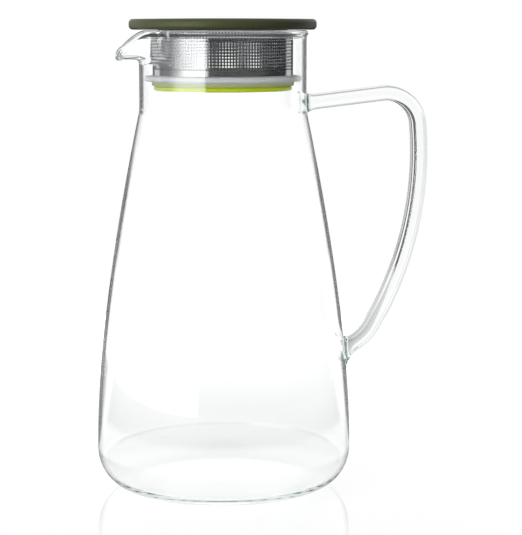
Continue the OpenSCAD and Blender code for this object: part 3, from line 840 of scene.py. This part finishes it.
def lime_ring(strainer):
    """Turned ring: the low end of its spigot, the seal's groove and the rounded bead that shows below."""
    sleeve_in = SLEEVE_HIGH.x - strainer.sheet
    groove = sleeve_in - strainer.groove
    bore = groove - strainer.ring_wall
    bead_top = RING_LOW.z + strainer.bead
    spigot = 0.12 * strainer.bottom_band
    top = min(RING_HIGH.z, SLEEVE_LOW.z + spigot)
    fine = 0.25 * MM
    edge = spigot / 3
    full = 0.48 * strainer.bead
    corners = [(bore, RING_LOW.z), (RING_HIGH.x, RING_LOW.z), (RING_HIGH.x, bead_top), (groove, bead_top),
               (groove, SLEEVE_LOW.z), (sleeve_in, SLEEVE_LOW.z), (sleeve_in, top), (bore, top)]
    return turned(rounded(corners, (fine, full, full, fine, fine, edge, edge, edge)))


def seal_ring(strainer):
    """Turned silicone: a plain tier, a step, and a fin that tapers to a round tip at the neck's wall."""
    groove = SLEEVE_HIGH.x - strainer.sheet - strainer.groove
    tier_r = SLEEVE_HIGH.x + strainer.tier_step
    tier_z = SEAL_LOW.z + strainer.tier
    middle = (tier_z + SEAL_HIGH.z) / 2
    tip = strainer.fin_tip / 2
    soft = 0.35 * MM
    corners = [(groove, SEAL_LOW.z), (tier_r, SEAL_LOW.z), (tier_r, tier_z), (SEAL_HIGH.x, middle - tip),
               (SEAL_HIGH.x, middle + tip), (tier_r, SEAL_HIGH.z), (groove, SEAL_HIGH.z)]
    return turned(rounded(corners, (soft, soft, soft, 0.9 * tip, 0.9 * tip, 2 * soft, soft)))


class PITCHER_OT_glass(Operator):
    """Builds the fused glass jug with its spout and handle"""

    bl_idname = "pitcher.glass"
    bl_label = "Glass Jug"

    def execute(self, context):
        scene = context.scene
        points, faces = glass_jug(scene.pitcher_jug, scene.pitcher_spout, scene.pitcher_handle)
        piece = make_piece("glass_jug", points, faces, blown_glass(scene.pitcher_colours))
        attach(piece, "jug")
        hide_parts("jug_body", "jug_handle")
        return {"FINISHED"}


class PITCHER_OT_lid(Operator):
    """Builds the lid's cover and finishes its base plate"""

    bl_idname = "pitcher.lid"
    bl_label = "Lid"

    def execute(self, context):
        colours = context.scene.pitcher_colours
        olive = moulded_plastic("olive_polypropylene", colours.olive, colours.olive_light, 0.46, 0.5 * MM)
        dark = moulded_plastic("dark_polypropylene", colours.dark, colours.dark_light, 0.55, 0.8 * MM)
        piece = make_piece("olive_lid_cover", *lid_cover(context.scene.pitcher_strainer), olive)
        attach(piece, "lid")
        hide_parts("lid_cover")
        for name in ("lid_base", "strainer_top_ring"):
            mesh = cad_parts[name].data
            mesh.materials.clear()
            mesh.materials.append(dark)
        return {"FINISHED"}


class PITCHER_OT_strainer(Operator):
    """Builds the perforated sleeve and the lime ring"""

    bl_idname = "pitcher.strainer"
    bl_label = "Strainer"

    def execute(self, context):
        sizes, colours = context.scene.pitcher_strainer, context.scene.pitcher_colours
        sleeve = make_piece("perforated_sleeve", *perforated_sleeve(sizes), rolled_steel(colours))
        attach(sleeve, "strainer")
        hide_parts("strainer_sleeve")
        ring = make_piece("lime_ring", *lime_ring(sizes), lime_plastic(colours))
        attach(ring, "strainer")
        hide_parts("strainer_bottom_ring")
        return {"FINISHED"}


class PITCHER_OT_seal(Operator):
    """Builds the silicone seal"""

    bl_idname = "pitcher.seal"
    bl_label = "Neck Seal"

    def execute(self, context):
        sizes, colours = context.scene.pitcher_strainer, context.scene.pitcher_colours
        # The painted lime light on the seal fades out between these two heights
        silicone = frosted_silicone(colours, SEAL_LOW.z + sizes.tier / 2, SEAL_LOW.z + 1.2 * sizes.tier)
        piece = make_piece("silicone_seal", *seal_ring(sizes), silicone)
        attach(piece, "strainer")
        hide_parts("neck_seal")
        return {"FINISHED"}


# The drawn studio. Each pair is where a soft edge starts and where it ends
# Bearings in degrees, 0 towards the camera and positive to the right, or to either side
SOFTBOX_SIDE = (-80, -57)
SOFTBOX_END = (-115, -85)
ROOM_FADE = (60, 85)
BEFORE_BACKDROP = (128, 119)
BACKDROP_LEFT = (-146, -154)
BACKDROP_RIGHT = (147, 155)
FRONT = (124, 116)
FLOOR_LEFT = (-126, -136)
FLOOR_RIGHT = (132, 142)
FLOOR_BEHIND = (160, 168)
FLOOR_BESIDE = (25, 45)
# Elevations in degrees: the softbox's band, the backdrop's edges by the way that light took, the ceiling
TABLE_BAND = (9, 4)
EDGE_WIDENS = (-3.5, -2)
EDGE_LOW = (4, 0)
EDGE_TALL = (20, 14)
EDGE_THIN_TOP = (0.6, -0.2)
EDGE_THIN_FOOT = (-6, -4)
CEILING = (8, 20)
# Angles in radians: the blur of the softbox's near edge, and how far the backdrop's edges widen
SOFTBOX_BLUR = np.radians(2)
EDGE_SPREAD = np.radians(5)
# What is left of the softbox past its end, and how many times darker the room is beyond its fade
SOFTBOX_REST = 0.4
ROOM_FALL = 6
# White panels round the table, where a panel ends as a cosine, and where left turns into right
PANELS = 8
PANEL_EDGE = (-0.6, -0.2)
GAP_MIDDLE = (-0.2, 0.2)
# Ways to the dark room and to the softbox, the cosines to them, and the softbox's light behind the glass
ROOM_WAY = (0.25, 0.97, 0.0)
ROOM_TURN = (-0.1, 0.5)
SOFTBOX_WAY = (0.58, -0.79, 0.2)
SOFTBOX_TURN = (-0.5, 0.9)
INSIDE_SHARES = (0.5, 1.4)
# Distances on the floor from the jug's axis, and from left to right
FLOOR_GLOW_REACH = (120 * MM, 500 * MM)
FLOOR_UNDER_REACH = (60 * MM, 110 * MM)
FLOOR_STRAP_REACH = (75 * MM, 100 * MM)
FLOOR_FAR_LEFT = (75 * MM, 115 * MM)
FLOOR_FAR_RIGHT = (90 * MM, 150 * MM)
FLOOR_FAR_BACK = (250 * MM, 450 * MM)
FLOOR_FAR_FRONT = (220 * MM, 280 * MM)
RING_IN = (52 * MM, 60 * MM)
RING_OUT = (140 * MM, 110 * MM)
FLOOR_MIDDLE = (-30 * MM, 30 * MM)
# Shares of the floor's glow through the jug, through the handle, and on matt pieces by its bearing's cosine
FLOOR_UNDER_SHARES = (1.12, 0.89)
FLOOR_STRAP_SHARE = 0.45
FLOOR_LIT_TURN = (0.2, 0.9)
FLOOR_LIT_SHARES = (0.1, 1.3)
# Grey of the floor where it doesn't glow, in linear light
ACRYLIC = (0.12, 0.12, 0.12, 1.0)
# How dark the floor is for light turned back in the glass, and far out in front
FLOOR_TURNED_SHARE = 0.4
FLOOR_FRONT_SHARE = 0.8


def studio_bearings(tree, stage, place):
    """The light path, a place or direction turned so that +X faces the camera, its axes and its bearing.

    The bearing is 0 towards the camera and positive to the right."""
    path = add(tree, "ShaderNodeLightPath").outputs
    turn = np.pi / 2 + stage.camera_turn
    facing = add(tree, "ShaderNodeVectorRotate", {"Vector": place, "Angle": turn}, rotation_type="Z_AXIS")
    axes = add(tree, "ShaderNodeSeparateXYZ", (facing,)).outputs
    bearing = add(tree, MATH, (axes["Y"], axes["X"]), operation="ARCTAN2")
    return path, facing, axes, bearing


def softbox_and_room(tree, stage, axes, bearing, inside):
    """Brightness that mirrored light sees: white, but for a softbox and a dark room at table height.

    The softbox stands in front on the left and fades towards the back, and the room is on the right. The
    softbox is dimmer in the steel behind the glass than in the glass."""
    core = add(tree, MIX, {0: inside, 2: stage.softbox_level, 3: stage.softbox_inside})
    side = add(tree, MIX, {0: inside, 2: stage.softbox_side, 3: stage.softbox_fade})
    near = add(tree, RANGE, (bearing, *np.radians(SOFTBOX_SIDE), side, core), **SMOOTH)
    rest = add(tree, RANGE, (bearing, *np.radians(SOFTBOX_END), SOFTBOX_REST, 1.0), **SMOOTH)
    softbox = add(tree, MATH, (near, rest), operation="MULTIPLY")
    corner = stage.room_level / ROOM_FALL
    room = add(tree, RANGE, (bearing, *np.radians(ROOM_FADE), stage.room_level, corner), **SMOOTH)
    edge = (-stage.softbox_edge - SOFTBOX_BLUR, -stage.softbox_edge + SOFTBOX_BLUR)
    past_softbox = add(tree, RANGE, (bearing, *edge), **SMOOTH)
    lamp = add(tree, MIX, {0: past_softbox, 2: softbox, 3: room})
    height = add(tree, MATH, (axes["Z"],), operation="ABSOLUTE")
    band = add(tree, RANGE, (height, *np.sin(np.radians(TABLE_BAND))), **SMOOTH)
    before = add(tree, RANGE, (axes["X"], *np.cos(np.radians(BEFORE_BACKDROP))), **SMOOTH)
    band = add(tree, MATH, (band, before), operation="MULTIPLY")
    return add(tree, MIX, {0: band, 2: 1.0, 3: lamp})


def mirrored_studio(tree, stage, axes, bearing, twice, inside, one_wall):
    """Brightness that mirrored light sees: softbox, room, and the dark edges of the backdrop on both sides.

    The edges widen from just below the horizon up, and how high they stand depends on the way that light
    took. Light turned round inside one wall of glass sees them and the dark room before them."""
    spread = add(tree, RANGE, (axes["Z"], *np.sin(np.radians(EDGE_WIDENS)), 0.0, EDGE_SPREAD), **SMOOTH)
    sides = []
    for operation, ends in (("SUBTRACT", BACKDROP_LEFT), ("ADD", BACKDROP_RIGHT)):
        shifted = add(tree, MATH, (bearing, spread), operation=operation)
        sides.append(add(tree, RANGE, (shifted, *np.radians(ends)), **SMOOTH))
    edges = add(tree, MATH, sides, operation="MAXIMUM")
    low, tall, thin_top, thin_foot = [add(tree, RANGE, (axes["Z"], *np.sin(np.radians(ends))), **SMOOTH)
                                      for ends in (EDGE_LOW, EDGE_TALL, EDGE_THIN_TOP, EDGE_THIN_FOOT)]
    thin = add(tree, MATH, (thin_top, thin_foot), operation="MULTIPLY")
    upright = add(tree, MIX, {0: twice, 2: low, 3: tall})
    upright = add(tree, MIX, {0: inside, 2: upright, 3: thin})
    upright = add(tree, MATH, (edges, upright), operation="MULTIPLY")
    studio = softbox_and_room(tree, stage, axes, bearing, inside)
    studio = add(tree, MIX, {0: upright, 2: studio, 3: stage.edge_level})
    inside_twice = add(tree, MATH, (inside, twice), operation="MULTIPLY")
    studio = add(tree, MIX, {0: inside_twice, 2: studio, 3: stage.inner_level})
    aside = add(tree, MATH, (bearing,), operation="ABSOLUTE")
    front = add(tree, RANGE, (aside, *np.radians(FRONT)), **SMOOTH)
    around = add(tree, MATH, (edges, front), operation="MAXIMUM")
    around = add(tree, MATH, (around, low), operation="MULTIPLY")
    in_wall = add(tree, MIX, {0: around, 2: stage.edge_rest, 3: stage.edge_level})
    in_wall = add(tree, MIX, {0: twice, 2: in_wall, 3: stage.edge_twice})
    return add(tree, MIX, {0: one_wall, 2: studio, 3: in_wall})


def studio_through_glass(tree, stage, axes, bearing, one_wall):
    """Brightness seen through glass: brighter than white, by about what the glass takes away.

    Light bent by solid glass sees white panels with dark gaps, under a dim ceiling. The panels are the crests
    of the cosine of the bearing times their number."""
    gap = add(tree, RANGE, (axes["Y"], *GAP_MIDDLE, stage.gap_left, stage.gap_level), **SMOOTH)
    panels = add(tree, MATH, (bearing, PANELS), operation="MULTIPLY")
    panels = add(tree, MATH, (panels,), operation="COSINE")
    panels = add(tree, RANGE, (panels, *PANEL_EDGE), **SMOOTH)
    panels = add(tree, MIX, {0: panels, 2: gap, 3: 1.0})
    ceiling = add(tree, RANGE, (axes["Z"], *np.sin(np.radians(CEILING)), 1.0, stage.ceiling_level), **SMOOTH)
    strap = add(tree, MATH, (panels, ceiling), operation="MINIMUM")
    strap = add(tree, MATH, (strap, stage.strap_level), operation="MULTIPLY")
    through = add(tree, MIX, {0: one_wall, 2: 1.0, 3: strap})
    return add(tree, MATH, (through, 1.0 + stage.backdrop), operation="MULTIPLY")


def studio_world(stage):
    """White for the camera and for what is seen straight through the glass, plain fill for matt surfaces.

    What other light sees depends on the way it took, which draws a studio that isn't built: how often it was
    mirrored, and how often it went into glass or out of it. Matt surfaces get less light from the dark room,
    and behind the glass they get the softbox's light through it."""
    world = bpy.data.worlds.new("studio")
    world.use_nodes = True
    tree = world.node_tree
    tree.nodes.clear()
    place = add(tree, "ShaderNodeTexCoord").outputs["Generated"]
    path, facing, axes, bearing = studio_bearings(tree, stage, place)
    mirrored, twice = [add(tree, MATH, (path["Glossy Depth"], times), operation="GREATER_THAN")
                       for times in (0.5, 1.5)]
    crossed, inside = [add(tree, MATH, (path["Transmission Depth"], times), operation="GREATER_THAN")
                       for times in (0.5, 3.5)]
    one_wall = add(tree, MATH, (crossed, inside), operation="SUBTRACT")
    mirror = mirrored_studio(tree, stage, axes, bearing, twice, inside, one_wall)
    through = studio_through_glass(tree, stage, axes, bearing, one_wall)
    to_room, to_softbox = [
        add(tree, "ShaderNodeVectorMath", (facing, way), operation="DOT_PRODUCT").outputs["Value"]
        for way in (ROOM_WAY, SOFTBOX_WAY)]
    fill = add(tree, RANGE, (to_room, *ROOM_TURN, stage.fill, stage.fill * stage.fill_right), **SMOOTH)
    shaded, lit = stage.fill_inside * np.array(INSIDE_SHARES)
    fill_inside = add(tree, RANGE, (to_softbox, *SOFTBOX_TURN, shaded, lit), **SMOOTH)
    matt = add(tree, MATH, (path["Diffuse Depth"], 0.5), operation="GREATER_THAN")
    plain = add(tree, MIX, {0: path["Is Camera Ray"], 2: fill, 3: 1.0})
    behind_glass = add(tree, MIX, {0: matt, 2: through, 3: fill_inside})
    plain = add(tree, MIX, {0: path["Is Transmission Ray"], 2: plain, 3: behind_glass})
    strength = add(tree, MIX, {0: mirrored, 2: plain, 3: mirror})
    sky = add(tree, "ShaderNodeBackground", {"Color": WHITE, "Strength": strength})
    add(tree, "ShaderNodeOutputWorld", {"Surface": sky})
    bpy.context.scene.world = world


def floor_light(tree, stage, path, bearing, reach):
    """Painted glow of the floor, less near the jug, so that its reflection shows there.

    Through the glass it is brighter right under the jug and dimmer behind it, and through the solid handle it
    is darker away from the jug. Matt pieces get more of it from in front than from behind."""
    glow = add(tree, RANGE, (reach, *FLOOR_GLOW_REACH, stage.floor_glow, 1.0), **SMOOTH)
    under = add(tree, RANGE, (reach, *FLOOR_UNDER_REACH, *FLOOR_UNDER_SHARES), **SMOOTH)
    under = add(tree, MIX, {0: path["Is Transmission Ray"], 2: 1.0, 3: under})
    solid_glass = add(tree, MATH, (path["Transmission Depth"], 2.0), operation="COMPARE")
    straight = add(tree, MATH, (path["Glossy Depth"], 0.5), operation="LESS_THAN")
    solid_glass = add(tree, MATH, (solid_glass, straight), operation="MULTIPLY")
    strap = add(tree, RANGE, (reach, *FLOOR_STRAP_REACH, 1.0, FLOOR_STRAP_SHARE), **SMOOTH)
    strap = add(tree, MIX, {0: solid_glass, 2: 1.0, 3: strap})
    matt = add(tree, MATH, (path["Diffuse Depth"], 0.5), operation="GREATER_THAN")
    lit = add(tree, MATH, (bearing,), operation="COSINE")
    lit = add(tree, RANGE, (lit, *FLOOR_LIT_TURN, *FLOOR_LIT_SHARES), **SMOOTH)
    lit = add(tree, MIX, {0: matt, 2: 1.0, 3: lit})
    seen = add(tree, MATH, (path["Is Camera Ray"], path["Is Transmission Ray"]), operation="MAXIMUM")
    seen = add(tree, MATH, (seen, path["Is Glossy Ray"]), operation="MAXIMUM")
    for factor in (under, strap, lit, seen):
        glow = add(tree, MATH, (glow, factor), operation="MULTIPLY")
    return glow


def floor_darkness(tree, path, axes, bearing, reach):
    """Share of the floor painted dark for light that was mirrored once on its way.

    It is dark under the edges of the backdrop, further from the jug on the right and not straight behind it,
    far out in front, and in a ring beside the heel for light that met no glass."""
    crossings = path["Transmission Depth"]
    aside = add(tree, MATH, (bearing,), operation="ABSOLUTE")
    once = add(tree, MATH, (path["Glossy Depth"], 1.0), operation="COMPARE")
    outside = add(tree, MATH, (crossings, 3.5), operation="LESS_THAN")
    once = add(tree, MATH, (once, outside), operation="MULTIPLY")
    far_left, far_right, far_back, far_front, ring_in, ring_out = [
        add(tree, RANGE, (reach, *ends), **SMOOTH)
        for ends in (FLOOR_FAR_LEFT, FLOOR_FAR_RIGHT, FLOOR_FAR_BACK, FLOOR_FAR_FRONT, RING_IN, RING_OUT)]
    left, right = [add(tree, RANGE, (bearing, *np.radians(ends)), **SMOOTH)
                   for ends in (FLOOR_LEFT, FLOOR_RIGHT)]
    behind, front, beside = [add(tree, RANGE, (aside, *np.radians(ends)), **SMOOTH)
                             for ends in (FLOOR_BEHIND, FRONT, FLOOR_BESIDE)]
    rightwards = add(tree, RANGE, (axes["Y"], *FLOOR_MIDDLE), **SMOOTH)
    under_edges = add(tree, MIX, {0: rightwards, 2: far_left, 3: far_right})
    back = add(tree, MIX, {0: behind, 2: 1.0, 3: far_back})
    crossed = add(tree, MATH, (crossings, 0.5), operation="GREATER_THAN")
    turned_back = add(tree, MATH, (crossed, FLOOR_TURNED_SHARE), operation="MULTIPLY")
    edges = add(tree, MATH, (left, right), operation="MAXIMUM")
    edges = add(tree, MATH, (edges, turned_back), operation="MAXIMUM")
    for factor in (back, once, edges):
        under_edges = add(tree, MATH, (under_edges, factor), operation="MULTIPLY")
    for factor in (far_front, once, FLOOR_FRONT_SHARE):
        front = add(tree, MATH, (front, factor), operation="MULTIPLY")
    uncrossed = add(tree, MATH, (crossings, 0.5), operation="LESS_THAN")
    for factor in (ring_in, ring_out, once, uncrossed):
        beside = add(tree, MATH, (beside, factor), operation="MULTIPLY")
    dark = add(tree, MATH, (under_edges, front), operation="MAXIMUM")
    return add(tree, MATH, (dark, beside), operation="MAXIMUM")


def floor_material(stage):
    """White acrylic sheet with a painted glow in place of light from below: white to the camera, with a soft
    shadow and a faint reflection.
    """
    material, tree, place = new_material("white_acrylic")
    path, facing, axes, bearing = studio_bearings(tree, stage, place)
    reach = add(tree, "ShaderNodeVectorMath", (facing,), operation="LENGTH").outputs["Value"]
    glow = floor_light(tree, stage, path, bearing, reach)
    # Specks about 3 mm across in its gloss
    speck = add(tree, "ShaderNodeTexNoise", {"Vector": place, "Scale": 1 / (3 * MM)})
    gloss = add(tree, RANGE, {"Value": speck, "To Min": 0.05, "To Max": 0.08})
    shader = add(tree, "ShaderNodeBsdfPrincipled", {
        "Base Color": ACRYLIC, "Roughness": gloss, "IOR": 1.33, "Emission Color": WHITE,
        "Emission Strength": glow})
    # Painted shade: patches of the floor that are dark only to light mirrored in the glass
    dark = add(tree, "ShaderNodeEmission", {"Color": WHITE, "Strength": stage.edge_level})
    share_dark = floor_darkness(tree, path, axes, bearing, reach)
    mixed = add(tree, "ShaderNodeMixShader", (share_dark, shader, dark))
    add(tree, "ShaderNodeOutputMaterial", {"Surface": mixed})
    return material


def pale_floor(stage):
    """A disc just below the foot, x = r cos a, y = r sin a, facing up."""
    rings = np.linspace(0, stage.floor_radius, FLOOR_RINGS + 1)[1:, None]
    turn = 2 * np.pi * np.arange(FLOOR_COLUMNS) / FLOOR_COLUMNS
    gap = 0.3 * MM
    grid = np.stack([rings * np.cos(turn), rings * np.sin(turn), 0 * rings * turn - gap], axis=-1)
    index = np.arange(FLOOR_RINGS * FLOOR_COLUMNS).reshape(FLOOR_RINGS, FLOOR_COLUMNS)
    points = np.vstack([grid.reshape(-1, 3), [[0, 0, -gap]]])
    faces = [grid_quads(index)[:, ::-1], fan(index.size, index[0])[:, ::-1]]
    return make_piece("floor", points, faces, floor_material(stage))


def softbox_lamp(stage):
    """An area lamp in front on the left that faces the jug's axis, and lights matt surfaces alone."""
    lamp = bpy.data.lights.new("softbox", "AREA")
    lamp.shape = "RECTANGLE"
    lamp.size = stage.softbox_width
    lamp.size_y = stage.softbox_height
    lamp.energy = stage.softbox_power
    softbox = bpy.data.objects.new("softbox", lamp)
    bearing = -np.pi / 2 - stage.camera_turn - stage.softbox_turn
    away = Vector((np.cos(bearing), np.sin(bearing), 0))
    softbox.location = away * stage.softbox_distance + Vector((0, 0, stage.softbox_height / 2))
    softbox.rotation_euler = (-away).to_track_quat("-Z", "Y").to_euler()
    softbox.visible_camera = False
    softbox.visible_glossy = False
    softbox.visible_transmission = False
    return softbox


def studio_camera(stage):
    """A camera on a level circle round the jug, tilted down and aimed a little to the right of its axis."""
    lens = bpy.data.cameras.new("camera")
    lens.sensor_fit = "VERTICAL"
    lens.sensor_height = stage.sensor
    lens.lens = stage.focal
    lens.clip_end = 10
    camera = bpy.data.objects.new("camera", lens)
    camera.location = (-stage.camera_distance * np.sin(stage.camera_turn),
                       -stage.camera_distance * np.cos(stage.camera_turn), stage.camera_height)
    camera.rotation_euler = (np.pi / 2 - stage.camera_pitch, 0, -stage.camera_turn - stage.camera_aim)
    return camera


class PITCHER_OT_stage(Operator):
    """Sets the floor, the light and the camera"""

    bl_idname = "pitcher.stage"
    bl_label = "Stage"

    def execute(self, context):
        scene = context.scene
        stage = scene.pitcher_stage
        pale_floor(stage)
        studio_world(stage)
        scene.collection.objects.link(softbox_lamp(stage))
        scene.camera = studio_camera(stage)
        scene.collection.objects.link(scene.camera)
        scene.view_settings.view_transform = "Standard"
        # Light runs a long way inside a wall of glass before it gets out
        scene.cycles.max_bounces = 128
        scene.cycles.glossy_bounces = 120
        scene.cycles.transmission_bounces = 48
        return {"FINISHED"}


OPERATORS = (PITCHER_OT_glass, PITCHER_OT_lid, PITCHER_OT_strainer, PITCHER_OT_seal, PITCHER_OT_stage)


class PITCHER_PT_sidebar(Panel):
    """Lists the pitcher's pieces and their sizes"""

    bl_idname = "PITCHER_PT_sidebar"
    bl_label = "Glass Pitcher"
    bl_space_type = "VIEW_3D"
    bl_region_type = "UI"
    bl_category = "Pitcher"

    def draw(self, context):
        for operator in OPERATORS:
            self.layout.operator(operator.bl_idname)
        for name, group in GROUPS.items():
            box = self.layout.box()
            box.label(text=group.__doc__)
            for key in group.__annotations__:
                box.prop(getattr(context.scene, name), key)


def register():
    for group in (*GROUPS.values(), *OPERATORS, PITCHER_PT_sidebar):
        bpy.utils.register_class(group)
    for name, group in GROUPS.items():
        setattr(bpy.types.Scene, name, PointerProperty(type=group))


def unregister():
    for name in GROUPS:
        delattr(bpy.types.Scene, name)
    for group in (*GROUPS.values(), *OPERATORS, PITCHER_PT_sidebar):
        bpy.utils.unregister_class(group)


def main():
    """Builds every piece and the stage."""
    register()
    bpy.ops.pitcher.glass()
    bpy.ops.pitcher.lid()
    bpy.ops.pitcher.strainer()
    bpy.ops.pitcher.seal()
    bpy.ops.pitcher.stage()


if __name__ == "__main__":
    main()
